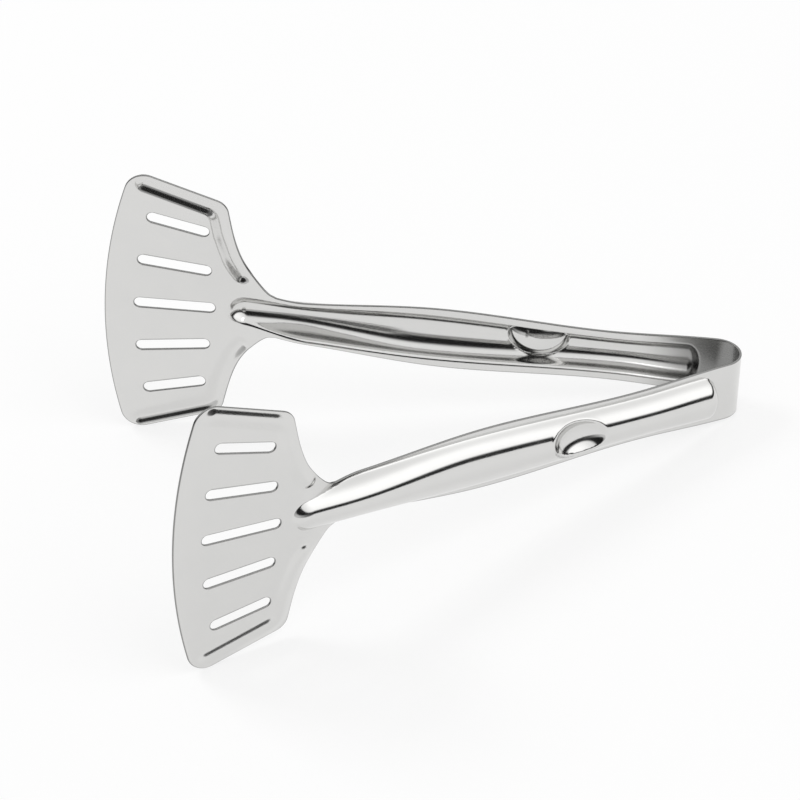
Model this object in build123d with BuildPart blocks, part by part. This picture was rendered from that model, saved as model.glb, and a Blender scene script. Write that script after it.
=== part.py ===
from build123d import *
from math import asin, atan2, cos, degrees, hypot, pi, radians, sin, tan
import os

# Fish tongs of bright stainless sheet, lying on one long side as they are put down.
# Two pressed arms, each a hollow channel handle with a slotted fan blade,
# spread from a flat strip that is bent into a U and works as the spring.
# The bow's lower edge and the two lower blade corners touch the table.
# Lengths are millimetres. Angles are degrees.

# Sheet
gauge = 1.0

# Spring bow
bow_width = 26.0
bow_radius = 10.2
splay_angle = 18.0

# Handle, with places measured from the end of the bow
waist_place = 40.0
waist_width = 23.0
palm_place = 118.0
palm_width = 27.4
neck_place = 181.0
neck_width = 19.0

# Ridge of the handle, pressed outwards and hollow inside
ridge_start = 6.5
ridge_reach_past_neck = 22.0
ridge_height = 7.6
neck_ridge_height = 9.8
flange_width = 3.7
neck_flange_width = 1.8
bow_nose_length = 5.0
blade_nose_length = 9.0

# Thumb dish, pressed back into the ridge a little above its middle as the tongs lie
dish_place = 73.0
dish_rise = 2.0
dish_length = 24.0
dish_width = 18.2
dish_depth = 6.2

# Step that carries the blade outwards, from behind the neck to in front of it
step_reach_behind_neck = 13.0
step_reach_past_neck = 18.0
blade_offset = 5.9
toe_in_angle = 2.4

# Fan blade, with sides that point at a centre far back along the handle
shoulder_length = 22.0
blade_side_length = 41.4
fan_radius = 199.4
fan_half_angle = 18.35
front_corner_radius = 8.5
rear_corner_radius = 7.0
shoulder_reach_shares = (0.34, 0.68, 0.87)
shoulder_rise_shares = (0.115, 0.365, 0.665)

# Drain slots, with lengths from the middle one outwards as shares of the middle one's
slot_width = 4.5
slot_front_margin = 12.2
slot_rear_gap = 3.7
slot_length_shares = (1.0, 0.913, 0.782)
slot_pitch_angle = 6.4

# Stiffening bead, pressed outwards along each side of the blade and down its shoulder
bead_width = 6.6
bead_height = 0.9
bead_edge_margin = 1.1
bead_front_margin = 3.8
bead_bend_radius = 7.5
bead_sweep_radius = 24.0

overrun = 30.0

# Values worked out from the sizes above
half_gauge = gauge / 2
toe_slope = tan(radians(toe_in_angle))
fan_turn = radians(fan_half_angle)
step_start = neck_place - step_reach_behind_neck
step_end = neck_place + step_reach_past_neck
ridge_end = neck_place + ridge_reach_past_neck
fan_root_radius = fan_radius - blade_side_length
fan_centre_place = neck_place + shoulder_length - fan_root_radius * cos(fan_turn)
front_corner = Vector(fan_centre_place + fan_radius * cos(fan_turn), fan_radius * sin(fan_turn))
rear_corner = Vector(fan_centre_place + fan_root_radius * cos(fan_turn), fan_root_radius * sin(fan_turn))
blade_front_place = fan_centre_place + fan_radius
middle_slot_length = blade_front_place - slot_front_margin - ridge_end - slot_rear_gap


def blade_height(place):
    """Height of the blade's middle surface over the handle's at a place along the arm"""
    return blade_offset - toe_slope * (place - step_end)


blade_plane = Plane(
    origin=(step_end, 0, blade_offset),
    x_dir=(1, 0, -toe_slope),
    z_dir=(toe_slope, 0, 1),
)


def shoulder_places():
    """Places that the edge of the shoulder runs through, from the neck to the rear corner of the blade"""
    neck = Vector(neck_place, neck_width / 2)
    places = [neck]
    for reach, rise in zip(shoulder_reach_shares, shoulder_rise_shares):
        across = neck.X + reach * (rear_corner.X - neck.X)
        along = neck.Y + rise * (rear_corner.Y - neck.Y)
        places.append(Vector(across, along))
    return places + [rear_corner]


# Sheet of one arm, cut to its outline and stepped at the neck
def middle_line(lift, far_place):
    """Side view of the sheet's surface, lifted by half its thickness or not at all"""
    Line((0, lift), (step_start, lift))
    Spline(
        (step_start, lift),
        (step_end, blade_offset + lift),
        tangents=((1, 0), (1, -toe_slope)),
    )
    Line((step_end, blade_offset + lift), (far_place, blade_height(far_place) + lift))


def outline_half():
    """Upper half of the arm's outline, from the bow's end round to the front of the blade"""
    shoulder = shoulder_places()
    Line((0, 0), (0, bow_width / 2))
    Spline(
        (0, bow_width / 2),
        (waist_place, waist_width / 2),
        (palm_place, palm_width / 2),
        shoulder[0],
        tangents=((1, 0), (1, 0)),
    )
    rear_tangent = (rear_corner.X - shoulder[-2].X, rear_corner.Y - shoulder[-2].Y)
    Spline(*shoulder, tangents=((1, 0), rear_tangent))
    Line(rear_corner, front_corner)
    half_turn = fan_turn / 2
    half_way = (fan_centre_place + fan_radius * cos(half_turn), fan_radius * sin(half_turn))
    ThreePointArc(front_corner, half_way, (blade_front_place, 0))


with BuildPart() as outline_prism:
    with BuildSketch(Plane.XY.offset(-overrun)):
        with BuildLine():
            outline_half()
            mirror(about=Plane.XZ)
        make_face()
    extrude(amount=overrun + overrun)
    upright = outline_prism.edges().filter_by(Axis.Z).sort_by(Axis.Y)
    fillet([upright[0], upright[-1]], radius=front_corner_radius)
    upright = outline_prism.edges().filter_by(Axis.Z).sort_by(Axis.Y)
    corner_gap = front_corner_radius
    rear_edges = [e for e in upright if abs(e.center().X - rear_corner.X) < corner_gap]
    rear_edges = [e for e in rear_edges if abs(abs(e.center().Y) - rear_corner.Y) < corner_gap]
    fillet(rear_edges, radius=rear_corner_radius)


with BuildPart() as arm_sheet:
    far_place = blade_front_place + overrun
    with BuildSketch(Plane.XZ):
        with BuildLine():
            middle_line(half_gauge, far_place)
            middle_line(-half_gauge, far_place)
            Line((0, -half_gauge), (0, half_gauge))
            end_height = blade_height(far_place)
            Line((far_place, end_height - half_gauge), (far_place, end_height + half_gauge))
        make_face()
    extrude(amount=front_corner.Y + overrun, both=True)
    add(outline_prism.part, mode=Mode.INTERSECT)


# Space on the outer side of the sheet, which trims what is pressed outwards
with BuildPart() as outer_side:
    far_place = blade_front_place + overrun
    with BuildSketch(Plane.XZ):
        with BuildLine():
            middle_line(0, far_place)
            Line((0, 0), (0, overrun))
            Line((0, overrun), (far_place, overrun))
            Line((far_place, overrun), (far_place, blade_height(far_place)))
        make_face()
    extrude(amount=front_corner.Y + overrun, both=True)


# Ridge of the handle
nose_angles = (12, 30, 50, 70, 90)
body_steps = 12
crown_shoulder_shares = (0.80, 0.62)


def ridge_size(place):
    """Half width and height of the ridge's middle surface at a place along the handle"""
    waist_half = waist_width / 2 - flange_width
    palm_half = palm_width / 2 - flange_width
    neck_half = neck_width / 2 - neck_flange_width
    start_half = (bow_width + waist_width) / 4 - flange_width
    body_start = ridge_start + bow_nose_length
    knots = [
        (body_start, start_half, ridge_height),
        (waist_place, waist_half, ridge_height),
        (palm_place, palm_half, ridge_height),
        (neck_place, neck_half, neck_ridge_height),
        (ridge_end, neck_half, neck_ridge_height),
    ]
    for near, far in zip(knots, knots[1:]):
        if near[0] <= place <= far[0]:
            turn = pi * (place - near[0]) / (far[0] - near[0])
            ease = (1 - cos(turn)) / 2
            half_width = near[1] + ease * (far[1] - near[1])
            return half_width, near[2] + ease * (far[2] - near[2])
    return knots[0][1:]


def body_stations(skin):
    """Places, half widths and heights of the ridge between its noses, for its outer or its inner skin"""
    body_start = ridge_start + bow_nose_length - skin
    body_end = ridge_end - blade_nose_length + skin
    stations = []
    for step in range(body_steps + 1):
        place = body_start + (body_end - body_start) * step / body_steps
        half_width, height = ridge_size(place)
        stations.append((place, half_width + skin, height + skin))
    return stations


def nose_stations(end_station, nose_length):
    """Stations of a round nose that closes one end of the ridge"""
    place, half_width, height = end_station
    stations = []
    for angle in nose_angles:
        size = sin(radians(angle))
        stations.append((place + nose_length * cos(radians(angle)), size * half_width, size * height))
    return stations


def ridge_section(half_width, height):
    """Rounded crown on a straight-sided foot that reaches below the sheet"""
    out_share, up_share = crown_shoulder_shares
    Spline(
        (half_width, 0),
        (out_share * half_width, up_share * height),
        (0, height),
        (-out_share * half_width, up_share * height),
        (-half_width, 0),
        tangents=((0, 1), (0, -1)),
    )
    Line((-half_width, 0), (-half_width, -gauge))
    Line((-half_width, -gauge), (half_width, -gauge))
    Line((half_width, -gauge), (half_width, 0))


def dish_solid(skin):
    """Oval ball that presses the thumb dish, for its outer or its inner skin"""
    # The front arm's own y axis points down to the table, so the dish rises towards minus y
    rim_height = ridge_height + half_gauge
    half_width = dish_width / 2
    ball_radius = (half_width ** 2 + dish_depth ** 2) / (dish_depth + dish_depth)
    stretch = dish_length / dish_width
    with BuildPart() as ball:
        Sphere(ball_radius + skin)
    long_ball = scale(ball.part, by=(stretch, 1, 1))
    centre_height = rim_height - dish_depth + ball_radius
    return long_ball.moved(Location((dish_place, -dish_rise, centre_height)))


def ridge_solid(skin):
    """The whole ridge as a closed solid, for its outer or its inner skin"""
    body = body_stations(skin)
    noses = [
        nose_stations(body[0], -bow_nose_length),
        nose_stations(body[-1], blade_nose_length),
    ]
    with BuildPart() as ridge:
        for place, half_width, height in body:
            with BuildSketch(Plane.YZ.offset(place)):
                with BuildLine():
                    ridge_section(half_width, height)
                make_face()
        loft()
        for stations in noses:
            for place, half_width, height in stations:
                with BuildSketch(Plane.YZ.offset(place)):
                    with BuildLine():
                        ridge_section(half_width, height)
                    make_face()
            loft(ruled=True)
    return ridge.part


with BuildPart() as ridge_outside:
    add(ridge_solid(half_gauge))
    add(outer_side.part, mode=Mode.INTERSECT)


ridge_inside = ridge_solid(-half_gauge)


dish_hollow = dish_solid(0)
dish_outside = dish_solid(gauge)


with BuildPart() as dish_bowl:
    add(ridge_outside.part)
    add(dish_outside, mode=Mode.INTERSECT)
    add(dish_hollow, mode=Mode.SUBTRACT)


# Beads of the blade
bead_inset = bead_edge_margin + bead_width / 2


def inward(start, end):
    """Direction from an edge of the blade to its inside, where the edge runs on towards the handle"""
    return (end - start).normalized().rotate(Axis.Z, 90)


def inset_corner(before, corner, after):
    """A corner of the outline, moved in until it lies the bead's inset away from both edges"""
    first = inward(before, corner)
    second = inward(corner, after)
    return corner + (first + second) * (bead_inset / (1 + first.dot(second)))


def bead_path(side):
    """Middle line of one bead on the blade's plane, from its front nose round the corner to the neck"""
    along = Vector(cos(fan_turn), sin(fan_turn))
    start = front_corner - along * (bead_front_margin + bead_width / 2)
    near_neck, below_middle, above_middle = shoulder_places()[1:-1]
    half_way = (near_neck + below_middle) / 2
    points = [
        start + inward(front_corner, rear_corner) * bead_inset,
        inset_corner(front_corner, rear_corner, above_middle),
        inset_corner(rear_corner, above_middle, below_middle),
        inset_corner(above_middle, below_middle, near_neck),
        half_way + inward(below_middle, near_neck) * bead_inset,
    ]
    radii = (bead_bend_radius, bead_sweep_radius, bead_sweep_radius)
    FilletPolyline(*[(point.X - step_end, side * point.Y) for point in points], radius=radii)


def bead_solid(side, skin):
    """One bead's outer or inner skin: a tube sunk under the sheet, with a ball at each end"""
    tube_radius = ((bead_width / 2) ** 2 + bead_height ** 2) / (bead_height + bead_height)
    with BuildLine(blade_plane.offset(bead_height - tube_radius)) as line:
        bead_path(side)
    path = line.wires()[0]
    with BuildPart() as bead:
        with BuildSketch(Plane(origin=path @ 0, z_dir=path % 0)):
            Circle(tube_radius + skin)
        sweep(path=path)
        with Locations(path @ 0, path @ 1):
            Sphere(tube_radius + skin)
    return bead.part


bead_skins = []
bead_hollows = []
for side in (1, -1):
    bead_skins.append(bead_solid(side, half_gauge))
    bead_hollows.append(bead_solid(side, -half_gauge))


with BuildPart() as bead_outside:
    add(bead_skins)
    add(outer_side.part, mode=Mode.INTERSECT)


# The front arm as pressed, on its own axes
slot_count = 2 * len(slot_length_shares) - 1


with BuildPart() as pressed_arm:
    add(arm_sheet.part)
    add(ridge_outside.part)
    add(bead_outside.part)
    add(ridge_inside, mode=Mode.SUBTRACT)
    add(bead_hollows, mode=Mode.SUBTRACT)
    add(dish_hollow, mode=Mode.SUBTRACT)
    add(dish_bowl.part)
    with BuildSketch(blade_plane):
        for number in range(slot_count):
            place_in_fan = number - slot_count // 2
            length = middle_slot_length * slot_length_shares[abs(place_in_fan)]
            angle = place_in_fan * slot_pitch_angle
            reach = fan_radius - slot_front_margin - length / 2
            across = fan_centre_place - step_end + reach * cos(radians(angle))
            with Locations(Location((across, reach * sin(radians(angle)), 0), (0, 0, angle))):
                SlotOverall(length, slot_width)
    extrude(amount=overrun / 4, both=True, mode=Mode.SUBTRACT)


# The back arm comes from the other end of the strip, with its dish towards the same long edge
with BuildPart() as mirrored_arm:
    mirror(pressed_arm.part, about=Plane.XZ)


# Strip of the spring bow, on the tongs' own axes: forward, towards the front arm, and across the strip
with BuildPart() as bent_strip:
    with BuildSketch(Plane.XY.offset(-bow_width / 2)):
        with BuildLine():
            bow_turn = 180 - splay_angle - splay_angle
            outer_radius = bow_radius + half_gauge
            inner_radius = bow_radius - half_gauge
            outer_arc = CenterArc((0, 0), outer_radius, 90 + splay_angle, bow_turn)
            inner_arc = CenterArc((0, 0), inner_radius, 90 + splay_angle, bow_turn)
            Line(outer_arc @ 0, inner_arc @ 0)
            Line(outer_arc @ 1, inner_arc @ 1)
        make_face()
    extrude(amount=bow_width)


# How the tongs lie: tipped until the bow's edge and the lower blade corners are level
def lying_angle():
    """Tip of the tongs that brings the bow's end and the rounded blade corners down to one level"""
    arm_angle = radians(splay_angle - toe_in_angle)
    inset = front_corner_radius
    round_middle = front_corner + Vector(
        inset * (sin(fan_turn) - cos(fan_turn)),
        -inset * (sin(fan_turn) + cos(fan_turn)),
    )
    forward = bow_radius + half_gauge - bow_radius * sin(radians(splay_angle))
    forward += step_end * cos(radians(splay_angle)) + (round_middle.X - step_end) * cos(arm_angle)
    forward -= blade_offset * sin(radians(splay_angle))
    drop = round_middle.Y - bow_width / 2
    return degrees(atan2(drop, forward) + asin(front_corner_radius / hypot(drop, forward)))


tip = radians(lying_angle())
lying_plane = Plane(origin=(0, 0, 0), x_dir=(-cos(tip), 0, sin(tip)), z_dir=(sin(tip), 0, cos(tip)))


def arm_location(side):
    """Where an arm's own axes lie: side is 1 for the front arm and -1 for the back arm"""
    turn = radians(splay_angle)
    own_plane = Plane(
        origin=(-bow_radius * sin(turn), side * bow_radius * cos(turn), 0),
        x_dir=(cos(turn), side * sin(turn), 0),
        z_dir=(-sin(turn), side * cos(turn), 0),
    )
    return lying_plane.location * own_plane.location


placed = {
    "front_arm": pressed_arm.part.moved(arm_location(1)),
    "back_arm": mirrored_arm.part.moved(arm_location(-1)),
    "spring_bow": bent_strip.part.moved(lying_plane.location),
}

# The origin is on the table, under the middle of the tongs
boxes = [shape.bounding_box() for shape in placed.values()]
table_height = min(box.min.Z for box in boxes)
middle = (min(box.min.X for box in boxes) + max(box.max.X for box in boxes)) / 2
seat = Location((-middle, 0, -table_height))


with BuildPart() as front_arm:
    add(placed["front_arm"].moved(seat))


with BuildPart() as back_arm:
    add(placed["back_arm"].moved(seat))


with BuildPart() as spring_bow:
    add(placed["spring_bow"].moved(seat))


os.makedirs("parts", exist_ok=True)
front_arm.part.label = "front_arm"
back_arm.part.label = "back_arm"
spring_bow.part.label = "spring_bow"
export_step(front_arm.part, "parts/front_arm.step")
export_step(back_arm.part, "parts/back_arm.step")
export_step(spring_bow.part, "parts/spring_bow.step")

for piece in (front_arm, back_arm, spring_bow):
    box = piece.part.bounding_box()
    print(piece.part.label, round(piece.part.volume), "mm3", box)
print("tipped", round(lying_angle(), 2), "degrees")
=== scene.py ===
# %% [markdown]
# # Fish tongs of bright pressed steel
# The real tongs are one strip of stainless sheet. A press gives each end a slotted fan blade and a
# hollow channel handle with a thumb dish, and the plain middle is bent into a U that springs them open.
# Such a thing could be sculpted, or cut out of solids with modifiers. Here the sheet itself is worked
# out: one height over the flat blank, the way the press tool gives it, and then a skin on either side.

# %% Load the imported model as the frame
import bpy
import numpy as np
from mathutils import Matrix


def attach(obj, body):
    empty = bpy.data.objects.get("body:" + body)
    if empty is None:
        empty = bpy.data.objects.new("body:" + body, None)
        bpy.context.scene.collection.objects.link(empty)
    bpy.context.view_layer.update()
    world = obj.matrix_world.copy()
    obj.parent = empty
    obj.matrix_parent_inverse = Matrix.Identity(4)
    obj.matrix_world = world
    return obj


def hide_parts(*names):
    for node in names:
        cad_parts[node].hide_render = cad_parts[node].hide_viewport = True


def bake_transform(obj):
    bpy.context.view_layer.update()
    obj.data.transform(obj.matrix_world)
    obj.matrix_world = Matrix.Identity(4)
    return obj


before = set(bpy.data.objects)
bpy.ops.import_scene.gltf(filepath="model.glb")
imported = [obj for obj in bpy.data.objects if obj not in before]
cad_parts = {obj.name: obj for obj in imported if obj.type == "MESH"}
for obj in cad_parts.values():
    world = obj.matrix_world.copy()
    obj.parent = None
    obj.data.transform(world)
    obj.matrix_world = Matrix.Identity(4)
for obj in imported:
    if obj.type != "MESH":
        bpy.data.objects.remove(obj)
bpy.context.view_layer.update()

# %% [markdown]
# ## The sheet
# All lengths are in millimetres, as in the solid model, and become metres only when a mesh is made.
# An arm is worked out on its own axes: x runs from the bow to the blade, y across, z outwards.
# The cut edges are tumbled round, so the grid stops short of the true outline by that round, and the
# edge strip that comes later makes up for it.

# %% Name the sheet's thickness and its round edge
mm = 0.001
half_gauge = 0.5
edge_round = 0.22
print("sheet", 2 * half_gauge, "mm thick, its edges rounded by", edge_round)

# %% [markdown]
# ## Width of the handle
# The handle swells and narrows on a smooth curve through four widths, and the shoulder of the blade
# sweeps out on another. A spline with set slopes at its ends draws both, as it does in the solid model.
# A curve object could draw them too, but the grid has to ask for the width at any place it likes.

# %% Draw curves with a clamped spline
def spline(knots, values, start_slope, end_slope):
    """Cubic through the values whose slope and curvature never jump. The slopes m solve
    m[i-1]/h[i-1] + 2 m[i] (1/h[i-1] + 1/h[i]) + m[i+1]/h[i] = 3 (d[i-1]/h[i-1] + d[i]/h[i]),
    where h is each gap and d each chord's slope, and each span is the cubic with those end slopes."""
    gap = np.diff(knots)
    chord = np.diff(values, axis=0) / (gap if values.ndim == 1 else gap[:, None])
    count = len(knots)
    system = np.eye(count)
    right = np.zeros((count,) + values.shape[1:])
    right[0], right[-1] = start_slope, end_slope
    for i in range(1, count - 1):
        system[i, i - 1:i + 2] = 1 / gap[i - 1], 2 / gap[i - 1] + 2 / gap[i], 1 / gap[i]
        right[i] = 3 * (chord[i - 1] / gap[i - 1] + chord[i] / gap[i])
    slope = np.linalg.solve(system, right)

    def curve(x):
        i = np.clip(np.searchsorted(knots, x) - 1, 0, count - 2)
        h = gap[i]
        t = (x - knots[i]) / h
        if values.ndim > 1:
            h, t = h[:, None], t[:, None]
        near = (1 + 2 * t) * (1 - t) ** 2 * values[i] + t * (1 - t) ** 2 * h * slope[i]
        return near + t * t * (3 - 2 * t) * values[i + 1] + t * t * (t - 1) * h * slope[i + 1]

    return curve


width_places = np.array([0.0, 40.0, 118.0, 181.0])
half_widths = np.array([13.0, 11.5, 13.7, 9.5]) - edge_round
half_width = spline(width_places, half_widths, 0.0, 0.0)
neck = np.array([width_places[-1], half_widths[-1]])
print("handle", 2 * (half_widths + edge_round), "mm wide at", width_places)

# %% [markdown]
# ## The fan of the blade
# The two sides of the blade point at one centre on the handle's axis, and its front is an arc round
# that centre. A corner is rounded by the circle that touches both of its lines. It is worked out here
# rather than bevelled later, because the grid has to follow the rounded outline.

# %% Set out the fan
def unit(v):
    """The vector over its own length"""
    return v / np.linalg.norm(v, axis=-1, keepdims=True)


def corner_round(before, corner, after, radius):
    """Centre and two touching points of a round in a corner: the centre lies on the line that halves
    the corner, radius / sin(half angle) away, and the touching points radius / tan(half angle)"""
    u, v = unit(before - corner), unit(after - corner)
    half = np.arccos(u @ v) / 2
    centre = corner + unit(u + v) * radius / np.sin(half)
    reach = radius / np.tan(half)
    return centre, corner + u * reach, corner + v * reach


fan_turn = np.radians(18.35)
fan_radius, fan_root_radius = 199.4, 158.0
fan_root_place = 203.0
front_round, rear_round = 8.5, 7.0
fan_centre = fan_root_place - fan_root_radius * np.cos(fan_turn)
fan_at = np.array([fan_centre, 0.0])
along_side = np.array([np.cos(fan_turn), np.sin(fan_turn)])
from_side = np.array([np.sin(fan_turn), -np.cos(fan_turn)])
front_corner = fan_at + fan_radius * along_side
rear_corner = fan_at + fan_root_radius * along_side
print("blade reaches", round(fan_centre + fan_radius, 2), "mm from the bow")

# %% [markdown]
# ## The shoulder
# From the neck the outline sweeps out to the blade's rear corner, slowly at first and then steeply.
# Five points set the sweep, as shares of the way out and across, and the clamped spline joins them.

# %% Sweep the shoulder out from the neck
shoulder_reach = np.array([0.0, 0.34, 0.68, 0.87, 1.0])
shoulder_rise = np.array([0.0, 0.115, 0.365, 0.665, 1.0])
shoulder_samples = 400
true_neck = neck + np.array([0, edge_round])
shoulder_points = true_neck + np.c_[shoulder_reach, shoulder_rise] * (rear_corner - true_neck)
shoulder_steps = np.r_[0, np.cumsum(np.linalg.norm(np.diff(shoulder_points, axis=0), axis=1))]
shoulder_end = unit(shoulder_points[-1] - shoulder_points[-2])
shoulder = spline(shoulder_steps, shoulder_points, np.array([1.0, 0.0]), shoulder_end)

shoulder_line = shoulder(np.linspace(0, shoulder_steps[-1], shoulder_samples)) - fan_at
shoulder_run = unit(np.gradient(shoulder_line, axis=0))
shoulder_line += np.c_[shoulder_run[:, 1], -shoulder_run[:, 0]] * edge_round
shoulder_angle = np.arctan2(shoulder_line[:, 1], shoulder_line[:, 0])
shoulder_radius = np.hypot(*shoulder_line.T)
rear_centre, rear_touch, side_touch = corner_round(
    shoulder_points[-2], rear_corner, front_corner, rear_round
)
print("rear corner's round touches at", rear_touch.round(2), "and", side_touch.round(2))

# %% [markdown]
# ## The blade's edge seen from the fan's centre
# The sides of the blade point at one centre, so angle and distance from it suit the blade better than
# x and y. Each angle then has one distance where the steel starts and one where it ends.

# %% Give the blade a near and a far edge
def near_edge(angle):
    """Distance of the shoulder, or of the rear corner's circle: c cos(d) - sqrt(r^2 - c^2 sin(d)^2),
    with c and d the circle's distance and the angle from it"""
    a = np.abs(angle)
    on_shoulder = np.interp(a, shoulder_angle, shoulder_radius)
    to_centre = rear_centre - fan_at
    c, at = np.hypot(*to_centre), np.arctan2(to_centre[1], to_centre[0])
    flat_round = rear_round - edge_round
    root = np.sqrt(np.maximum(flat_round ** 2 - (c * np.sin(a - at)) ** 2, 0))
    touch = rear_centre + (rear_touch - rear_centre) * flat_round / rear_round - fan_at
    on_round = c * np.cos(a - at) - root
    return np.where(a > np.arctan2(touch[1], touch[0]), on_round, on_shoulder)


def far_edge(angle):
    """Distance of the front arc, or of the front corner's circle, which is
    c cos(d) + sqrt(r^2 - c^2 sin(d)^2)"""
    a = np.abs(angle)
    c = fan_radius - front_round
    at = fan_turn - np.arcsin(front_round / c)
    root = np.sqrt(np.maximum((front_round - edge_round) ** 2 - (c * np.sin(a - at)) ** 2, 0))
    return np.where(a > at, c * np.cos(a - at) + root, fan_radius - edge_round)


print("front arc", far_edge(0.0).round(2), "mm from the fan's centre")

# %% [markdown]
# ## What the press does to the flat blank
# The step, the ridge, the thumb dish and the beads are each a height over the blank. Where two meet,
# sheet can't fold sharply, so the higher one is taken with a small fillet between them.

# %% Ease and blend heights
def eased(x, knots, values):
    """From knot to knot on half a wave: v0 + (v1 - v0) (1 - cos(pi t)) / 2"""
    i = np.clip(np.searchsorted(knots, x) - 1, 0, len(knots) - 2)
    t = np.clip((x - knots[i]) / (knots[i + 1] - knots[i]), 0, 1)
    return values[i] + (values[i + 1] - values[i]) * (1 - np.cos(np.pi * t)) / 2


def higher(a, b, soft):
    """max(a, b), plus (soft - |a - b|)^2 / (4 soft) where they are closer than soft"""
    return np.maximum(a, b) + np.maximum(soft - np.abs(a - b), 0) ** 2 / (4 * soft)


def lower(a, b, soft):
    """The same fillet between the lower of two heights: -higher(-a, -b)"""
    return -higher(-a, -b, soft)


print("two level sheets meet", higher(0.0, 0.0, 1.0), "mm above both, for a fillet of 1 mm")

# %% [markdown]
# ## The step at the neck
# At the neck the sheet steps outwards by about 6 mm, which leaves room for the food between the blades
# when the handles are squeezed. Beyond the step it slopes back in a little, because the blades toe in.

# %% Step the blade outwards
step_start, step_end = 168.0, 199.0
blade_offset, toe_slope = 5.9, np.tan(np.radians(2.4))


def stepped(x):
    """offset t^2 (3 - 2 t) over the step, where t runs from 0 to 1, then the toe's slope times the way
    beyond it. A term slope span t^2 (1 - t) makes the step end on that slope."""
    span = step_end - step_start
    t = np.clip((x - step_start) / span, 0, 1)
    rise = blade_offset * t * t * (3 - 2 * t) + toe_slope * span * t * t * (1 - t)
    return rise - toe_slope * np.maximum(x - step_end, 0)


print("blade's rear corners lie", stepped(fan_root_place).round(2), "mm further out than the bow's end")

# %% [markdown]
# ## The hollow ridge
# A hollow ridge runs down the handle and makes the thin sheet stiff. Its section is nearly half round,
# and it ends in a short nose at the bow and a longer one that runs out into the blade.

# %% Raise the ridge
ridge_knots = np.array([11.5, 40.0, 118.0, 181.0, 203.0])
ridge_halves = np.array([8.55, 7.8, 10.0, 7.7, 7.7])
ridge_heights = np.array([7.6, 7.6, 7.6, 9.8, 9.8])
ridge_body = (11.5, 194.0)
bow_nose_length, blade_nose_length = 5.0, 9.0
crown_fullness, crown_knee = 2.15, 0.95


def crown(share):
    """Nearly half round: sqrt(1 - share^2.15), and from 0.95 of the half width straight on down"""
    s = np.minimum(share, crown_knee)
    height = np.sqrt(1 - s ** crown_fullness)
    slope = -crown_fullness / 2 * s ** (crown_fullness - 1) / height
    return height + slope * (share - s)


def ridge(x, y):
    """Height times crown, where the share is sqrt((y / half width)^2 + (reach into a nose)^2)"""
    half = eased(x, ridge_knots, ridge_halves)
    into_bow_nose = (ridge_body[0] - x) / bow_nose_length
    into_blade_nose = (x - ridge_body[1]) / blade_nose_length
    into = np.maximum(np.maximum(into_bow_nose, into_blade_nose), 0)
    return eased(x, ridge_knots, ridge_heights) * crown(np.hypot(y / half, into))


ridge_length = ridge_body[1] - ridge_body[0] + bow_nose_length + blade_nose_length
print("ridge", ridge_length, "mm long with its noses")

# %% [markdown]
# ## The thumb dish
# A second stroke of the press pushes an oval dish back into the ridge, for the thumb. The dish is part
# of a ball that is stretched along the handle, and the metal round it stands up in a slight rim.

# %% Push the dish back in
dish_place, dish_rise = 73.0, 2.0
dish_height, dish_radius, dish_stretch = 11.678, 10.278, 24.0 / 18.2


def dish(x, y):
    """Underside of an oval ball: centre height - sqrt(radius^2 - (x / stretch)^2 - y^2), with x and y
    from the ball's middle, which lies above the ridge's. The front arm's y points down."""
    inside = dish_radius ** 2 - ((x - dish_place) / dish_stretch) ** 2 - (y + dish_rise) ** 2
    return dish_height - np.sqrt(np.maximum(inside, 0))


print("dish goes down to", round(dish_height - dish_radius, 2), "mm above the flat")

# %% [markdown]
# ## The line of the beads
# A shallow bead runs along each side of the blade, turns the rear corner and follows the shoulder. It
# keeps the thin fan from bending. Its line has the same corners as the outline, a few millimetres in.
# It is a little higher here than in the solid model, because its steep sides are what shows in a mirror.

# %% Lead the bead's line round the corners
bead_half, bead_height, bead_inset = 3.3, 1.25, 4.4
bead_end_gap = 3.8
bead_radii = (7.5, 24.0, 24.0)
round_samples = 13


def inward(start, end):
    """A quarter turn to the left of the run from start to end"""
    run = unit(end - start)
    return np.array([-run[1], run[0]])


def inset_corner(before, corner, after):
    """The corner plus (n1 + n2) inset / (1 + n1.n2), so that it lies the inset away from both edges"""
    first, second = inward(before, corner), inward(corner, after)
    return corner + (first + second) * bead_inset / (1 + first @ second)


def rounded_line(corners, radii):
    """Points along a bent line: from each round's first touching point the round turns evenly to
    its second, and the runs between the rounds stay straight"""
    line = [corners[0]]
    for before, corner, after, radius in zip(corners, corners[1:], corners[2:], radii):
        centre, touch, leave = corner_round(before, corner, after, radius)
        share = np.linspace(0, 1, round_samples)[:, None]
        line.extend(centre + radius * unit((touch - centre) * (1 - share) + (leave - centre) * share))
    return np.array(line + [corners[-1]])


_, near_neck, below_middle, above_middle, _ = shoulder_points
half_way = (near_neck + below_middle) / 2
bead_corners = [
    front_corner - along_side * (bead_end_gap + bead_half) + from_side * bead_inset,
    inset_corner(front_corner, rear_corner, above_middle),
    inset_corner(rear_corner, above_middle, below_middle),
    inset_corner(above_middle, below_middle, near_neck),
    half_way + inward(below_middle, near_neck) * bead_inset,
]
bead_line = rounded_line(bead_corners, bead_radii)
print("bead", np.linalg.norm(np.diff(bead_line, axis=0), axis=1).sum().round(1), "mm long")

# %% [markdown]
# ## One height for all
# The bead's height falls off softly with the distance from its line, and then everything the press
# does comes together in one function. The mesh is nothing but this height over the blank's grid.

# %% Work out the height of the sheet
bead_spread = 1.3
dish_rim, dish_rim_width = 0.35, 1.1
dish_fillet, foot_fillet = 0.9, 1.5


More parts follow.
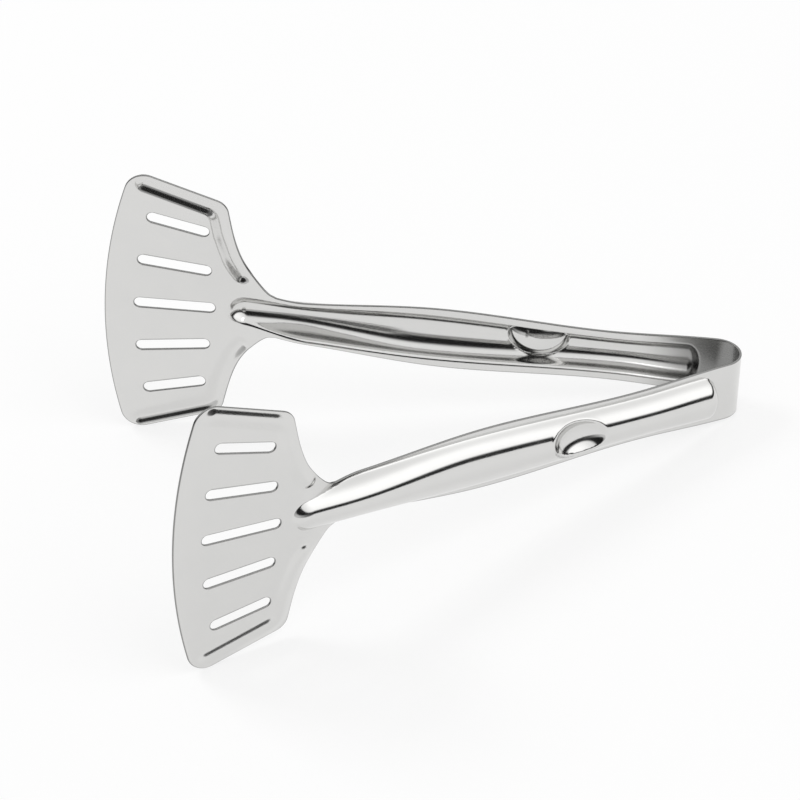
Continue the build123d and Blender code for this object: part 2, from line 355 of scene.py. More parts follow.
def bead(x, y):
    """height (1 - s^2)^2, a soft wave whose s is the least distance from the runs of the bead's line
    over 1.3 half widths: the point minus a run's start, less its share t of that run"""
    px, py = x[..., None], np.abs(y)[..., None]
    start, run = bead_line[:-1], np.diff(bead_line, axis=0)
    t = ((px - start[:, 0]) * run[:, 0] + (py - start[:, 1]) * run[:, 1]) / (run ** 2).sum(axis=1)
    t = np.clip(t, 0, 1)
    away = np.hypot(px - start[:, 0] - t * run[:, 0], py - start[:, 1] - t * run[:, 1]).min(axis=-1)
    share = np.minimum(away / (bead_spread * bead_half), 1)
    return bead_height * (1 - share ** 2) ** 2


def pressed(x, y):
    """Height of the sheet's middle at a point of the blank: higher(step, lower(ridge + rim, dish))
    plus the bead, where the rim is 0.35 exp(-((ridge - dish) / 1.1)^2) round the dish"""
    level = stepped(x)
    top = ridge(x, y)
    bowl = dish(x, y)
    rim = dish_rim * np.exp(-((top - bowl) / dish_rim_width) ** 2) * (bowl < dish_height)
    return higher(level, lower(top + rim, bowl, dish_fillet), foot_fillet) + bead(x, y)


print("crown", pressed(np.array([40.0]), np.array([0.0])).round(2), "mm high at the waist")

# %% [markdown]
# ## Lines of the grid
# A grid over the blank carries the mesh. Its lines crowd where the steel bends and follow the slots'
# sides, so that a slot is simply a run of faces left out. The lines of the handle run on into the
# middle of the blade, and the blade's own lines join them at the shoulders.

# %% Lay out the lines across
slot_half, slot_pitch = 2.25 + edge_round, np.radians(6.4)
slot_mid, side_mid = 170.0, 178.0
side_band, side_crowding = 8.3, 1.5
cap_steps, neck_steps, side_steps = 6, 23, 26


def spread(counts, *stops):
    """Evenly spaced values from stop to stop, with that many steps in each stretch"""
    parts = [np.linspace(a, b, n, endpoint=False) for n, a, b in zip(counts, stops, stops[1:])]
    return np.r_[np.concatenate(parts), stops[-1]]


neck_angle = np.arctan2(neck[1], neck[0] - fan_centre)
neck_radius = np.hypot(neck[1], neck[0] - fan_centre)
cap_turn = np.linspace(-np.pi / 2, np.pi / 2, 2 * cap_steps + 1)
cap = np.arcsin(slot_half * np.sin(cap_turn) / slot_mid)
slot_edge = cap[-1]
side_share = np.linspace(1, 0, side_steps + 1) ** side_crowding
side_angles = fan_turn - np.arcsin((edge_round + side_band * side_share) / side_mid)

half_angles = np.r_[
    cap[cap_steps:],
    spread((neck_steps, 6), slot_edge, neck_angle, slot_pitch - slot_edge)[1:-1],
    slot_pitch + cap,
    spread((20,), slot_pitch + slot_edge, 2 * slot_pitch - slot_edge)[1:-1],
    2 * slot_pitch + cap,
    spread((15,), 2 * slot_pitch + slot_edge, side_angles[0])[1:-1],
    side_angles,
]
blade_angles = np.r_[-half_angles[:0:-1], half_angles]
middle_column = len(half_angles) - 1
handle_half = cap_steps + neck_steps
print(len(blade_angles), "lines across the blade,", 2 * handle_half + 1, "of them from the handle")

# %% [markdown]
# ## Lines of the handle
# The sheet bends most at the foot of the ridge, so the handle's lines crowd there. Each line keeps to
# a share of the ridge's width, a share of the handle's width, or a fixed distance from the ridge's
# foot, and the shares pass evenly from one rule to the next.

# %% Let the handle's lines crowd at the foot of the ridge
line_stops = np.array([0, 11, 21, 24, handle_half])
of_ridge = np.interp(np.arange(handle_half + 1), line_stops, [0.0, 0.74, 1.0, 1.0, 0.0])
of_width = np.interp(np.arange(handle_half + 1), line_stops, [0.0, 0.0, 0.0, 0.0, 1.0])
apart = np.interp(np.arange(handle_half + 1), line_stops, [0.0, 0.0, 0.2, 1.25, 0.0])


def handle_lines(x, half):
    """Distance of each line from the middle: a share of the ridge's half width, a share of the
    handle's, and a fixed distance, for the half of the lines on one side"""
    ridge_half = eased(x, ridge_knots, ridge_halves)
    return ridge_half[:, None] * of_ridge + half[:, None] * of_width + apart


def both_sides(lines):
    """Lines of one side, and before them the same lines in reverse with their sign turned"""
    return np.c_[-lines[:, :0:-1], lines]


place_counts = (5, 30, 10, 26, 70, 56, 30)
place_stops = (0.0, 4.5, 13.5, 20.0, 54.0, 88.0, 165.0)
bend_start = 160.0
end_place = fan_centre + neck_radius
places = spread(place_counts, *place_stops, end_place)[:-1]
handle_y = both_sides(handle_lines(places, half_width(np.minimum(places, neck[0]))))
bending = np.clip((places - bend_start) / (end_place - bend_start), 0, 1) ** 2
sag = neck_radius - np.sqrt(neck_radius ** 2 - handle_y ** 2)
handle_x = places[:, None] - sag * bending[:, None]
print("handle grid", handle_x.shape)

# %% [markdown]
# ## Rows of the blade
# On the blade the rows come in three bands: from the shoulder to the slots' rear ends, along the
# slots, and from there to the front edge. The handle's lines run on in the middle for a while, where
# the ridge's nose needs them, and then let go and join the fan.

# %% Work out the blade's part of the grid
slot_number = np.array([-2, -1, 0, 1, 2])
slot_front_gap = 12.2
slot_front = fan_radius - slot_front_gap + edge_round
slot_lengths = np.array([33.53, 30.62, 26.22]) + 2 * edge_round
slot_rear = slot_front - slot_lengths
side_rear = 171.0
edges = [0, slot_edge, slot_pitch - slot_edge, slot_pitch + slot_edge]
edges += [2 * slot_pitch - slot_edge, 2 * slot_pitch + slot_edge, fan_turn]
rear_stops = [*np.repeat(slot_rear, 2), side_rear]

near = near_edge(blade_angles)
on_handle = np.abs(np.arange(len(blade_angles)) - middle_column) <= handle_half
near[on_handle] = neck_radius
rear = np.interp(np.abs(blade_angles), edges, rear_stops)
far = far_edge(blade_angles)

row_counts = (56, 50, 24)
first, second, third = [np.linspace(0, 1, n, endpoint=False)[:, None] for n in row_counts]
radius = np.r_[
    near + (rear - near) * first,
    rear + (slot_front - rear) * second,
    slot_front + (far - slot_front) * third,
    far[None, :],
]
angle = np.repeat(blade_angles[None, :], len(radius), axis=0)

let_go_from, let_go_over = 146.0, 6.0
middle = slice(middle_column - handle_half, middle_column + handle_half + 1)
middle_radius = radius[:, middle_column]
ridge_lines = handle_lines(fan_centre + middle_radius, middle_radius * np.sin(neck_angle))
lines = both_sides(ridge_lines) / middle_radius[:, None]
let_go = np.clip((middle_radius - let_go_from) / let_go_over, 0, 1)
let_go = (let_go * let_go * (3 - 2 * let_go))[:, None]
angle[:, middle] = np.arcsin(np.clip(lines, -1, 1)) * (1 - let_go) + angle[:, middle] * let_go
print("blade grid", radius.shape)

# %% [markdown]
# ## Slots with round ends
# Near each slot the grid is drawn over to it: the lines beside it to its straight sides, and the rows
# at its ends to half circles. What lies inside is then left out when the faces are made. A boolean cut
# would do it too, but would leave long thin triangles that show in a mirror finish.

# %% Draw the grid over to the slots
beside, behind = 5.2, 3.2
run_up, run_fade, slot_reach = 6, 5, 8
blade_x = fan_centre + radius * np.cos(angle)
blade_y = radius * np.sin(angle)
for number in slot_number:
    turn = number * slot_pitch
    c, s = np.cos(turn), np.sin(turn)
    p = (blade_x - fan_centre) * c + blade_y * s
    q = blade_y * c - (blade_x - fan_centre) * s
    start, stop = slot_front - slot_lengths[abs(number)], slot_front
    grid_half = p * np.tan(slot_edge)
    beyond = np.clip((np.abs(q) - grid_half) / (beside - grid_half), 0, 1)
    hold = 1 - beyond * beyond * (3 - 2 * beyond)
    after_start = np.clip((p - start + run_up) / run_fade, 0, 1)
    before_stop = np.clip((stop + run_up - p) / run_fade, 0, 1)
    q = q * (1 + (slot_half / grid_half - 1) * hold * (after_start * before_stop))
    inside = np.minimum(np.abs(q), slot_half)
    bulge = (slot_half - np.sqrt(slot_half ** 2 - inside ** 2)) * hold
    at_start = np.maximum(1 - np.abs(p - start) / behind, 0)
    at_stop = np.maximum(1 - np.abs(p - stop) / behind, 0)
    p = p + bulge * (at_start - at_stop) * (np.abs(q) < beside)
    near_slot = (np.abs(q) < beside) & (p > start - slot_reach) & (p < stop + slot_reach)
    blade_x = np.where(near_slot, fan_centre + p * c - q * s, blade_x)
    blade_y = np.where(near_slot, p * s + q * c, blade_y)
print("slots from", slot_rear.round(2), "to", round(slot_front, 2), "mm from the fan's centre")

# %% [markdown]
# ## From grid to faces
# Handle and blade share one row of points at the neck, so the two grids make one sheet. The faces
# between a slot's sides are left out here, which opens the slot.

# %% Number the grid's faces
just_over = 1.001


def quads(numbers):
    """Four corners of each face between two rows and two lines of a grid of vertex numbers"""
    return np.stack([numbers[:-1, :-1], numbers[1:, :-1], numbers[1:, 1:], numbers[:-1, 1:]], -1)


handle_numbers = np.arange(handle_x.size).reshape(handle_x.shape)
blade_numbers = np.arange(blade_x.size).reshape(blade_x.shape) + handle_x.size
joined = np.r_[handle_numbers, blade_numbers[:1, middle]]
blade_faces = quads(blade_numbers)
kept = np.ones(blade_faces.shape[:2], bool)
rows = slice(row_counts[0], row_counts[0] + row_counts[1])
for number in slot_number:
    inside = np.abs(blade_angles - number * slot_pitch) < slot_edge * just_over
    first_column, last_column = np.flatnonzero(inside)[[0, -1]]
    kept[rows, first_column:last_column] = False
arm_faces = np.r_[quads(joined).reshape(-1, 4), blade_faces[kept]]
arm_plan = np.c_[np.r_[handle_x.ravel(), blade_x.ravel()], np.r_[handle_y.ravel(), blade_y.ravel()]]
print(len(arm_faces), "faces on one skin of an arm")

# %% [markdown]
# ## Two skins and a round edge
# The middle surface gets its two skins half a gauge away along its own normals, as Solidify would do.
# Cut edges of real pressed ware are tumbled a little round, and that round is what catches the light,
# so the edge is a strip of five narrow faces and not one sharp wall. The end that meets the spring bow
# stays flat.

# %% Find normals and open edges
turn_steps = np.radians([0, 45, 90])
edge_out = edge_round * np.sin(turn_steps)
edge_up = half_gauge - edge_round * (1 - np.cos(turn_steps))
edge_profile = np.c_[np.r_[edge_out, edge_out[::-1]], np.r_[edge_up, -edge_up[::-1]]]
tiny = 1e-12


def normals_of(points, faces):
    """Sum over a point's faces of the cross product of their diagonals, made one long"""
    diagonal = points[faces[:, 2]] - points[faces[:, 0]]
    other = points[faces[:, 3]] - points[faces[:, 1]]
    across = np.cross(diagonal, other)
    total = np.zeros_like(points)
    for corner in range(4):
        np.add.at(total, faces[:, corner], across)
    return unit(total + tiny)


def open_edges(faces, count, ends):
    """Sides that only one face has, as pairs of points, without those that lie along a plain end. A
    side's key is its lower point times the count of points, plus its higher point."""
    sides = np.concatenate([faces[:, [k, (k + 1) % 4]] for k in range(4)])
    key = np.sort(sides, axis=1) @ [count, 1]
    _, where, times = np.unique(key, return_index=True, return_counts=True)
    rim = sides[where[times == 1]]
    for row, _ in ends:
        rim = rim[~(np.isin(rim[:, 0], row) & np.isin(rim[:, 1], row))]
    return rim


def outward(points, normal, rim):
    """Points on the open edges, and the way out of the sheet at each: the sum of the cross products
    of its edges' runs with its normal, made one long"""
    away = np.zeros_like(points)
    run = unit(points[rim[:, 1]] - points[rim[:, 0]])
    for corner in (0, 1):
        np.add.at(away, rim[:, corner], np.cross(run, normal[rim[:, corner]]))
    rim_points = np.unique(rim)
    return rim_points, unit(away[rim_points])


print("edge profile", edge_profile.round(2).tolist())

# %% [markdown]
# ## The sheet as a closed skin
# The two skins and the strips between them are joined into one closed mesh, with every face pointing
# out of the steel. Each vertex remembers which point of the blank it came from, because the polishing
# lines follow the blank, and whether it lies on the cut edge or on the inner skin.

# %% Put two skins and round edges on a surface
def end_caps(row, starts, count, levels):
    """Faces that close a plain end: one between the skins for each pair of points along the row, and
    one over the edge profile at both ends of the row, all turned round where the sheet ends"""
    faces = np.stack([row[:-1], row[1:], row[1:] + count, row[:-1] + count], -1).tolist()
    faces.append([int(level(row[-1])) for level in levels])
    faces.append([int(level(row[0])) for level in levels[::-1]])
    return faces if starts else [face[::-1] for face in faces]


def plated(points, faces, flat_ends):
    """Vertices and faces of a sheet: each skin is the surface plus or minus its normal times half a
    gauge, and each edge a strip along the profile. flat_ends are the rows of points that stay plain,
    each with 1 if the sheet starts there and 0 if it ends."""
    used = np.unique(faces)
    new_number = np.zeros(len(points), int)
    new_number[used] = np.arange(len(used))
    points, faces = points[used], new_number[faces]
    ends = [(new_number[row], starts) for row, starts in flat_ends]
    normal = normals_of(points, faces)
    rim = open_edges(faces, len(points), ends)
    rim_points, away = outward(points, normal, rim)
    count, rim_count = len(points), len(rim_points)
    rim_number = np.full(count, -1)
    rim_number[rim_points] = np.arange(rim_count)

    skins = [points + normal * half_gauge, points - normal * half_gauge]
    rings = []
    for out_by, up_by in edge_profile:
        rings.append(points[rim_points] + away * out_by + normal[rim_points] * up_by)
    skins[0][rim_points], skins[1][rim_points] = rings[0], rings[-1]
    vertices = np.concatenate(skins + rings[1:-1])
    source = np.concatenate([np.arange(count)] * 2 + [rim_points] * (len(rings) - 2))

    levels = [lambda v: v]
    for k in range(len(rings) - 2):
        levels.append(lambda v, k=k: 2 * count + k * rim_count + rim_number[v])
    levels.append(lambda v: v + count)
    made = [faces, faces[:, ::-1] + count]
    for upper, under in zip(levels, levels[1:]):
        a, b = rim[:, 0], rim[:, 1]
        made.append(np.stack([upper(a), under(a), under(b), upper(b)], -1))
    polygons = np.concatenate(made).tolist()
    for row, starts in ends:
        polygons += end_caps(row, starts, count, levels)

    on_rim = np.zeros(len(vertices))
    on_rim[2 * count:] = 1
    on_rim[rim_points] = on_rim[rim_points + count] = 1
    # the inner skin's mark, which later carries the painted shade inside the bow
    inside_shade_mark = np.zeros(len(vertices))
    inside_shade_mark[count:2 * count] = 1
    flat = np.isin(source, np.concatenate([row for row, _ in ends]))
    return vertices, polygons, used[source], {"Rim": on_rim, "Inside": inside_shade_mark}, flat


print("each edge has", len(edge_profile) - 1, "narrow faces across")

# %% [markdown]
# ## Where the pieces lie
# The tongs lie tipped on one long side. The bow's axis leans with them, and each arm leaves the bow at
# the splay angle. Both dishes lie towards the strip's same long edge, so one arm mirrors the other.

# %% Lay out the axes of the tongs
bow_radius = 10.2
splay = np.radians(18.0)
tip_sin, tip_cos = 0.20185617, 0.97941518
bow_axis_at = np.array([111.1221, 0.0, 14.8923])
lie = np.array([[-tip_cos, 0, tip_sin], [0, -1, 0], [tip_sin, 0, tip_cos]])


def arm_to_lie(side):
    """Axes of an arm and its start: out along the splay angle from where the bow's arc ends"""
    c, s = np.cos(splay), np.sin(splay)
    axes = np.array([[c, side * s, 0], [0, 0, -side], [-s, side * c, 0]])
    return axes, np.array([-bow_radius * s, side * bow_radius * c, 0])


def in_frame(points):
    """Metres in the frame: the bow axis's place plus the point along the lying axes, times 0.001"""
    return (bow_axis_at + points @ lie) * mm


print("tongs tipped by", np.degrees(np.arcsin(tip_sin)).round(2), "degrees")

# %% [markdown]
# ## A mesh from arrays
# The arrays go into a mesh in one step. The blank's own x and y become the UV map, because the wheel
# polished along the strip, and the edge and inside marks become attributes that the steel can read.
# The plain ends are marked sharp, or their flat faces would be shaded round.

# %% Place a piece in the frame
blank_per_uv = 100


def steel_piece(name, vertices, polygons, plan, marks, flat):
    """A mesh object from arrays: its UV is the place on the blank over 100 mm, its marks become
    attributes, and an edge between two flat points is sharp"""
    mesh = bpy.data.meshes.new(name)
    mesh.from_pydata(in_frame(vertices).tolist(), [], polygons)
    mesh.shade_smooth()
    ends = np.zeros(len(mesh.edges) * 2, int)
    mesh.edges.foreach_get("vertices", ends)
    sharp = flat[ends.reshape(-1, 2)].all(axis=1)
    mesh.attributes.new("sharp_edge", "BOOLEAN", "EDGE").data.foreach_set("value", sharp)
    corners = np.zeros(len(mesh.loops), int)
    mesh.loops.foreach_get("vertex_index", corners)
    blank = mesh.uv_layers.new(name="Blank")
    blank.data.foreach_set("uv", (plan[corners] / blank_per_uv).astype(np.float32).ravel())
    for mark, value in marks.items():
        attribute = mesh.attributes.new(mark, "FLOAT", "POINT")
        attribute.data.foreach_set("value", value.astype(np.float32))
    mesh.validate()
    mesh.update()
    piece = bpy.data.objects.new(name, mesh)
    bpy.context.scene.collection.objects.link(piece)
    return piece


print("one unit of UV is", blank_per_uv, "mm of the blank")

# %% [markdown]
# ## The two arms
# Each arm is one pressing: blade, neck and handle in one piece. The inner skin carries painted shade
# at the bow's end, which fades out along the arm, and is bright from there.
# The two blanks are kept apart on the UV map, so that their patterns differ.

# %% Make the two arms
# painted shade on the inner skin: full near the bow, gone 34 mm along the arm
shade_places, shade_levels = np.array([2.0, 34.0]), np.array([1.0, 0.0])
blank_apart = 40
pieces = {}
for body, side in (("front", 1), ("back", -1)):
    sheet = np.c_[arm_plan, pressed(arm_plan[:, 0], arm_plan[:, 1] * side)]
    vertices, polygons, source, marks, flat = plated(sheet, arm_faces, [(handle_numbers[0], 1)])
    marks["Inside"] *= eased(arm_plan[source, 0], shade_places, shade_levels)
    axes, start = arm_to_lie(side)
    name = f"{body}_arm_pressing"
    plan = arm_plan[source] * [1, side] + [0, blank_apart * side]
    pieces[body] = steel_piece(name, start + vertices @ axes, polygons, plan, marks, flat)
    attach(pieces[body], body)
    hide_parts(f"{body}_arm")
    print(name, len(pieces[body].data.polygons), "faces")

# %% [markdown]
# ## The spring bow
# The bow is the plain strip between the arms, and it bends when the tongs are squeezed. It is made as
# two halves that meet at the back of the U: each half bends between the bow's middle and its own arm,
# which is how the real strip shares its bend.

# %% Make the two halves of the bow
end_angle = np.pi / 2 - splay
small, blend_margin = np.radians(0.1), np.radians(2.5)
bow_steps = 60
between = np.linspace(0, end_angle, bow_steps + 1)[1:-1]
bow_angles = np.r_[0, small, between, end_angle - small, end_angle]
strip_lines = handle_y[0]
turned, across = np.meshgrid(bow_angles, strip_lines, indexing="ij")
strip_numbers = np.arange(turned.size).reshape(turned.shape)
strip_faces = quads(strip_numbers).reshape(-1, 4)
strip_ends = [(strip_numbers[0], 1), (strip_numbers[-1], 0)]


def on_bow(turn, height, side):
    """Point of the bow's middle surface: -radius cos(turn), side radius sin(turn), and the height"""
    return np.stack([-bow_radius * np.cos(turn), side * bow_radius * np.sin(turn), height], -1)


for body, side in (("front", 1), ("back", -1)):
    # the whole inner skin of each bow half keeps the painted shade
    strip = on_bow(turned, -side * across, side).reshape(-1, 3)
    vertices, polygons, source, marks, flat = plated(strip, strip_faces, strip_ends)
    along = (turned.ravel() - end_angle) * bow_radius
    plan = np.c_[along, across.ravel() * side + blank_apart * side][source]
    name = f"bow_{body}_half"
    piece = steel_piece(name, vertices, polygons, plan, marks, flat)
    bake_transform(piece)
    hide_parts("spring_bow")
    pieces[name] = piece
    print(name, len(piece.data.polygons), "faces")

# %% [markdown]
# ## Bright stainless steel
# Buffed steel is close to a mirror, but never quite: the wheel leaves fine lines along the handle and
# handling leaves faint cloudy patches. Both are noise on the blank's UV map, where the lines are the
# same noise pulled out long and thin. A photograph of brushed steel would repeat, and noise doesn't.

# %% Start the steel with its lines and clouds
def node(tree, kind, **settings):
    """A shader node with its settings, or its inputs where the name is an input's"""
    made = tree.nodes.new(kind)
    for key, value in settings.items():
        if key in made.inputs:
            made.inputs[key].default_value = value
        else:
            setattr(made, key, value)
    return made


steel = bpy.data.materials.new("Buffed stainless steel")
steel.use_nodes = True
tree = steel.node_tree
tree.nodes.clear()
output = node(tree, "ShaderNodeOutputMaterial")
shader = node(tree, "ShaderNodeBsdfPrincipled", Metallic=1.0)
tree.links.new(shader.outputs["BSDF"], output.inputs["Surface"])
blank = node(tree, "ShaderNodeUVMap", uv_map="Blank")

lines_at = node(tree, "ShaderNodeMapping")
lines_at.inputs["Scale"].default_value = (6.0, 420.0, 1.0)
lines_noise = node(tree, "ShaderNodeTexNoise", Scale=1.0, Detail=3.0, Roughness=0.55)
tree.links.new(blank.outputs["UV"], lines_at.inputs["Vector"])
tree.links.new(lines_at.outputs["Vector"], lines_noise.inputs["Vector"])

cloud = node(tree, "ShaderNodeTexNoise", Scale=9.0, Detail=4.0, Roughness=0.6)
tree.links.new(blank.outputs["UV"], cloud.inputs["Vector"])
print(steel.name, "has", len(tree.nodes), "nodes so far")

# %% [markdown]
# ## How rough the steel is
# The clouds set the roughness between two low values, the lines add a little, and more is added along
# the cut edges and where the inside of the bow carries painted shade.

# %% Mix the steel's roughness
smoothest, cloudiest = 0.075, 0.135
line_roughness, dull_roughness = 0.05, 0.14
roughness = node(tree, "ShaderNodeMapRange")
roughness.inputs["To Min"].default_value = smoothest
roughness.inputs["To Max"].default_value = cloudiest
tree.links.new(cloud.outputs["Fac"], roughness.inputs["Value"])
line_rough = node(tree, "ShaderNodeMath", operation="MULTIPLY_ADD")
line_rough.inputs[1].default_value = line_roughness
tree.links.new(lines_noise.outputs["Fac"], line_rough.inputs[0])
tree.links.new(roughness.outputs["Result"], line_rough.inputs[2])

rim_mark = node(tree, "ShaderNodeAttribute", attribute_name="Rim")
on_rim = node(tree, "ShaderNodeMath", operation="POWER")
on_rim.inputs[1].default_value = 3.0
tree.links.new(rim_mark.outputs["Fac"], on_rim.inputs[0])
inside_shade_mark = node(tree, "ShaderNodeAttribute", attribute_name="Inside")
# one mask for the cut edges and for the painted shade inside the bow
edge_and_painted_shade = node(tree, "ShaderNodeMath", operation="MAXIMUM")
tree.links.new(on_rim.outputs["Value"], edge_and_painted_shade.inputs[0])
tree.links.new(inside_shade_mark.outputs["Fac"], edge_and_painted_shade.inputs[1])

dull_rough = node(tree, "ShaderNodeMath", operation="MULTIPLY_ADD")
dull_rough.inputs[1].default_value = dull_roughness
tree.links.new(edge_and_painted_shade.outputs["Value"], dull_rough.inputs[0])
tree.links.new(line_rough.outputs["Value"], dull_rough.inputs[2])
tree.links.new(dull_rough.outputs["Value"], shader.inputs["Roughness"])
print("roughness from", smoothest, "to", cloudiest + line_roughness + dull_roughness)

# %% [markdown]
# ## Colour and grain
# Stainless steel is a grey with a trace of warmth, a shade lighter in the clouds and much darker along
# the cut edges and inside the bow, where the dark is painted shade. The polishing lines are also a very
# shallow bump, which draws out the reflections.

# %% Tint the steel and give it its grain
tint = node(tree, "ShaderNodeMix", data_type="RGBA")
tint.inputs["A"].default_value = (0.67, 0.67, 0.66, 1.0)
tint.inputs["B"].default_value = (0.71, 0.705, 0.695, 1.0)
tree.links.new(cloud.outputs["Fac"], tint.inputs["Factor"])
# much darker base colour along the cut edges, and painted shade inside the bow
edge_and_shade_tint = node(tree, "ShaderNodeMix", data_type="RGBA")
edge_and_shade_tint.inputs["B"].default_value = (0.27, 0.27, 0.265, 1.0)
tree.links.new(edge_and_painted_shade.outputs["Value"], edge_and_shade_tint.inputs["Factor"])
tree.links.new(tint.outputs["Result"], edge_and_shade_tint.inputs["A"])
tree.links.new(edge_and_shade_tint.outputs["Result"], shader.inputs["Base Color"])

bump = node(tree, "ShaderNodeBump", Strength=0.12, Distance=0.00002)
tree.links.new(lines_noise.outputs["Fac"], bump.inputs["Height"])
tree.links.new(bump.outputs["Normal"], shader.inputs["Normal"])
for piece in pieces.values():
    piece.data.materials.append(steel)
print(steel.name, "is on", len(pieces), "pieces")

# %% [markdown]
# ## The white table
# The tongs lie on a white table under soft light. The table glows a little to whoever looks at it,
# directly or in the steel, so its shadows stay faint. To the rays that only gather light it is plain
# white, so the glow adds no light to the tongs.

# %% Paint the table
def seen_directly(tree):
    """1 for a ray that looks at a surface straight, in a reflection or through glass, and 0 for the
    rays that only gather light: Is Camera Ray + Is Glossy Ray + Is Transmission Ray, clamped"""
    path = node(tree, "ShaderNodeLightPath")
    first = node(tree, "ShaderNodeMath", operation="ADD", use_clamp=True)
    both = node(tree, "ShaderNodeMath", operation="ADD", use_clamp=True)
    tree.links.new(path.outputs["Is Camera Ray"], first.inputs[0])
    tree.links.new(path.outputs["Is Glossy Ray"], first.inputs[1])
    tree.links.new(first.outputs["Value"], both.inputs[0])
    tree.links.new(path.outputs["Is Transmission Ray"], both.inputs[1])
    return both.outputs["Value"]


table_glow, table_white, table_whole = 0.71, 0.95, 1.01
table_paint = bpy.data.materials.new("White table")
table_paint.use_nodes = True
tree = table_paint.node_tree
top = tree.nodes["Principled BSDF"]
top.inputs["Specular IOR Level"].default_value = 0.0
top.inputs["Roughness"].default_value = 0.9
top.inputs["Emission Color"].default_value = (1.0, 1.0, 1.0, 1.0)
glow = node(tree, "ShaderNodeMath", operation="MULTIPLY")
glow.inputs[1].default_value = table_glow
tree.links.new(seen_directly(tree), glow.inputs[0])
tree.links.new(glow.outputs["Value"], top.inputs["Emission Strength"])
shade = node(tree, "ShaderNodeMapRange")
shade.inputs["To Min"].default_value = table_white
shade.inputs["To Max"].default_value = table_whole - table_glow
tree.links.new(seen_directly(tree), shade.inputs["Value"])
tree.links.new(shade.outputs["Result"], top.inputs["Base Color"])
print("table glows by", table_glow, "and reflects", round(table_whole - table_glow, 2))

# %% Lay the table
def stage_piece(name, vertices, faces, material):
    """A piece of the set, which isn't part of the tongs"""
    mesh = bpy.data.meshes.new(name)
    mesh.from_pydata(vertices, [], faces)
    mesh.materials.append(material)
    made = bpy.data.objects.new(name, mesh)
    bpy.context.scene.collection.objects.link(made)
    return made


table_half = 6.0
corners = [(-1, -1), (1, -1), (1, 1), (-1, 1)]
table_at = [(x * table_half, y * table_half, 0.0) for x, y in corners]
stage_piece("table", table_at, [(0, 1, 2, 3)], table_paint)
print("table", 2 * table_half, "m wide")

# %% [markdown]
# ## The dark room
# Polished steel shows only what stands round it, and what gives it its dark lines in a white studio is
# the dark room beyond the table's edge. That room is a tall ring here, black at the bottom and fading
# to white above, which only reflections see. Its paint is one attribute with a level for each point.

# %% Build the ring
room_paint = bpy.data.materials.new("Dark room under a white ceiling")
room_paint.use_nodes = True
tree = room_paint.node_tree
tree.nodes.clear()
output = node(tree, "ShaderNodeOutputMaterial")
light = node(tree, "ShaderNodeEmission")
level = node(tree, "ShaderNodeAttribute", attribute_name="Level")
tree.links.new(level.outputs["Color"], light.inputs["Color"])
tree.links.new(light.outputs["Emission"], output.inputs["Surface"])

ring_radius, ring_foot_height, wall_foot_height = 1.3, 0.0006, 0.06
foot_radii = [0.60, 0.70, 0.92, 0.99, ring_radius]
foot_count, wall_count, wall_top = len(foot_radii), 67, 66
ring_turns = np.linspace(0, 2 * np.pi, 97)[:-1]
ring_tilts = np.radians(np.linspace(0, wall_top, wall_count))
foot = np.c_[foot_radii, np.full(foot_count, ring_foot_height)]
wall = np.c_[np.full(wall_count, ring_radius), wall_foot_height + ring_radius * np.tan(ring_tilts)]
ring_profile = np.r_[foot, wall]
ring_points = np.stack([
    ring_profile[:, None, 0] * np.cos(ring_turns),
    ring_profile[:, None, 0] * np.sin(ring_turns),
    ring_profile[:, None, 1] * np.ones_like(ring_turns),
], -1).reshape(-1, 3)
ring_numbers = np.arange(len(ring_points)).reshape(len(ring_profile), -1)
ring_numbers = np.c_[ring_numbers, ring_numbers[:, :1]]
ring_faces = quads(ring_numbers).reshape(-1, 4)
ring = stage_piece("dark_room", ring_points.tolist(), ring_faces.tolist(), room_paint)
print("ring", ring_profile[:, 1].max().round(2), "m high,", ring_radius, "m from the tongs")

# %% [markdown]
# ## A black board and a bright panel
# A photographer sets a black board beside bright metal to give it dark lines, and a bright panel on
# the other side to give it a shine. Both are part of the ring's paint: at the board it stays black much
# higher, and at the panel the white above is brighter.

# %% Paint the ring
board_side, panel_side = np.radians(-140.0), np.radians(-25.0)
black_edge, black_fade = 9, 8
board_edge, board_fade = 60, 14
room_black, room_white, panel_shine = 0.015, 0.96, 0.46
floor_grey, floor_edge, floor_fade = 0.70, 12, 4
foot_white, foot_shade = 0.975, 0.50


def bell(side, width):
    """exp(-(a / width)^2), with a the angle in degrees from one side of the ring"""
    return np.exp(-(np.degrees(np.angle(np.exp(1j * (ring_turns - side)))) / width) ** 2)


# The ring is black up to 9 degrees and fades over 8 to white, or brighter at the panel. At the board
# it is black to its top, and grey below 12 degrees, like the floor before it.
board = bell(board_side, 42)
tilt = np.degrees(np.r_[np.zeros(foot_count), ring_tilts])[:, None]
black_to = black_edge + board_edge * board
fading = np.clip((tilt - black_to) / (black_fade + board_fade * board), 0, 1)
grey = room_black + floor_grey * board * np.clip((floor_edge - tilt) / floor_fade, 0, 1)
white = room_white + panel_shine * bell(panel_side, 46)
ring_level = grey + white * fading ** 2 * (3 - 2 * fading)
ring_level[0] = foot_white
ring_level[1:3] = foot_white - foot_shade * bell(board_side, 38)
colours = np.ones((ring_level.size, 4), np.float32)
colours[:, :3] = ring_level.reshape(-1, 1)
ring.data.attributes.new("Level", "FLOAT_COLOR", "POINT").data.foreach_set("color", colours.ravel())
ring.visible_camera = False
ring.visible_diffuse = False
ring.visible_shadow = False
ring.visible_transmission = False
print("black to", black_to.max().round(1), "degrees at the board")

# %% [markdown]
# ## Light
# A white sky lights everything evenly, and two large soft lamps, one behind on the left and one in
# front on the right, give the faint shadow that sets the tongs on the table. Small lamps would give
# hard sparks on the steel, which the photograph doesn't show.

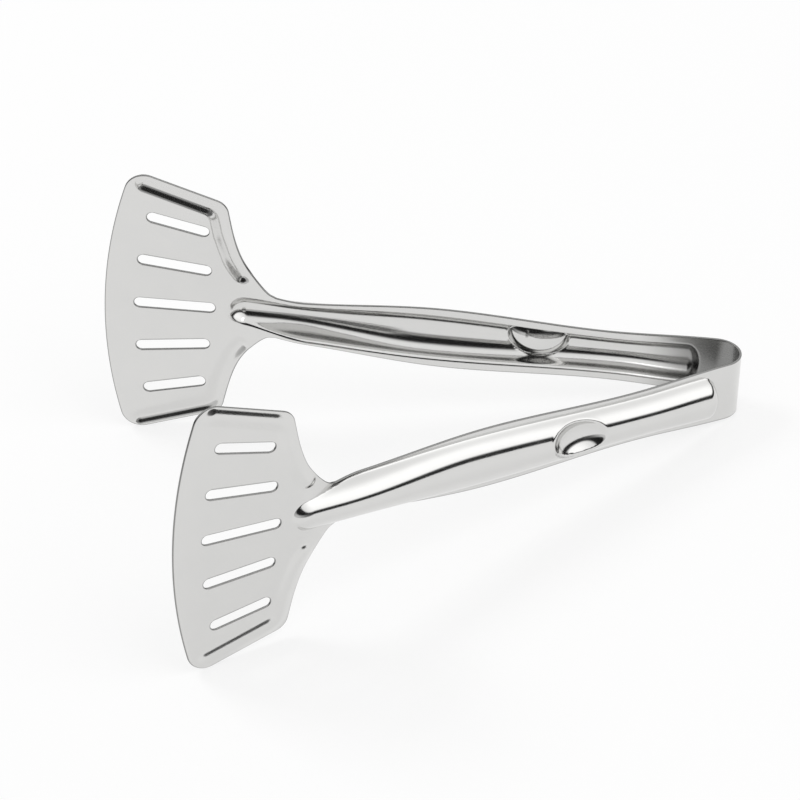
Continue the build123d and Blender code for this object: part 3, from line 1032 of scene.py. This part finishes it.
# %% Light the set
world = bpy.data.worlds.new("White sky")
bpy.context.scene.world = world
world.use_nodes = True
sky = world.node_tree
background = sky.nodes["Background"]
background.inputs["Color"].default_value = (1.0, 1.0, 1.0, 1.0)
strength = node(sky, "ShaderNodeMapRange")
strength.inputs["To Min"].default_value = 0.62
strength.inputs["To Max"].default_value = 1.0
sky.links.new(seen_directly(sky), strength.inputs["Value"])
sky.links.new(strength.outputs["Result"], background.inputs["Strength"])


def placed(made, right, up, back, place):
    """Put an object at a place with its own axes along right, up and back, as columns of its matrix"""
    made.matrix_world = Matrix(np.c_[right, up, back, place].tolist() + [[0, 0, 0, 1]])
    bpy.context.scene.collection.objects.link(made)


def soft_lamp(name, place, target, size, power):
    """A square soft lamp at a place, whose back is the unit vector from the target to the lamp and
    whose right is the cross product of straight up and back"""
    lamp = bpy.data.lights.new(name, "AREA")
    lamp.size = size
    lamp.energy = power
    back = unit(np.array(place) - np.array(target))
    right = unit(np.cross([0, 0, 1], back))
    placed(bpy.data.objects.new(name, lamp), right, np.cross(back, right), back, place)
    print(name, power, "watts,", size, "m wide")


soft_lamp("high_lamp", (-1.0, 1.3, 1.8), (0.0, 0.0, 0.05), 0.8, 12.0)
soft_lamp("front_soft_box", (1.1, -1.1, 1.9), (0.0, 0.0, 0.0), 1.6, 14.0)

# %% [markdown]
# ## The camera
# The photograph looks down on the tongs from in front through a long lens, with its horizon turned a
# little. Azimuth, height, turn and distance were fitted to the outlines of the blades and slots.

# %% Set the camera
azimuth, height, turn = np.radians([-4.82, 34.59, 10.93])
look_at, distance = np.array([5.41, 248.95, -130.96]) * mm, 2.30845
focal_pixels, frame_pixels, film_width = 5000, 800, 36.0
level_back = np.array([np.sin(azimuth), -np.cos(azimuth)]) * np.cos(height)
back = np.array([*level_back, np.sin(height)])
level_right = unit(np.cross(-back, [0, 0, 1]))
level_up = np.cross(back, level_right)
right = np.cos(turn) * level_right - np.sin(turn) * level_up
up = np.sin(turn) * level_right + np.cos(turn) * level_up
eye = look_at + back * distance
lens = bpy.data.cameras.new("shop_camera")
lens.sensor_width = film_width
lens.lens = focal_pixels / frame_pixels * film_width
lens.clip_start, lens.clip_end = 0.05, 50.0
camera = bpy.data.objects.new("shop_camera", lens)
placed(camera, right, up, back, eye)
bpy.context.scene.camera = camera
bpy.context.scene.view_settings.view_transform = "Standard"
print("camera at", eye.round(3))
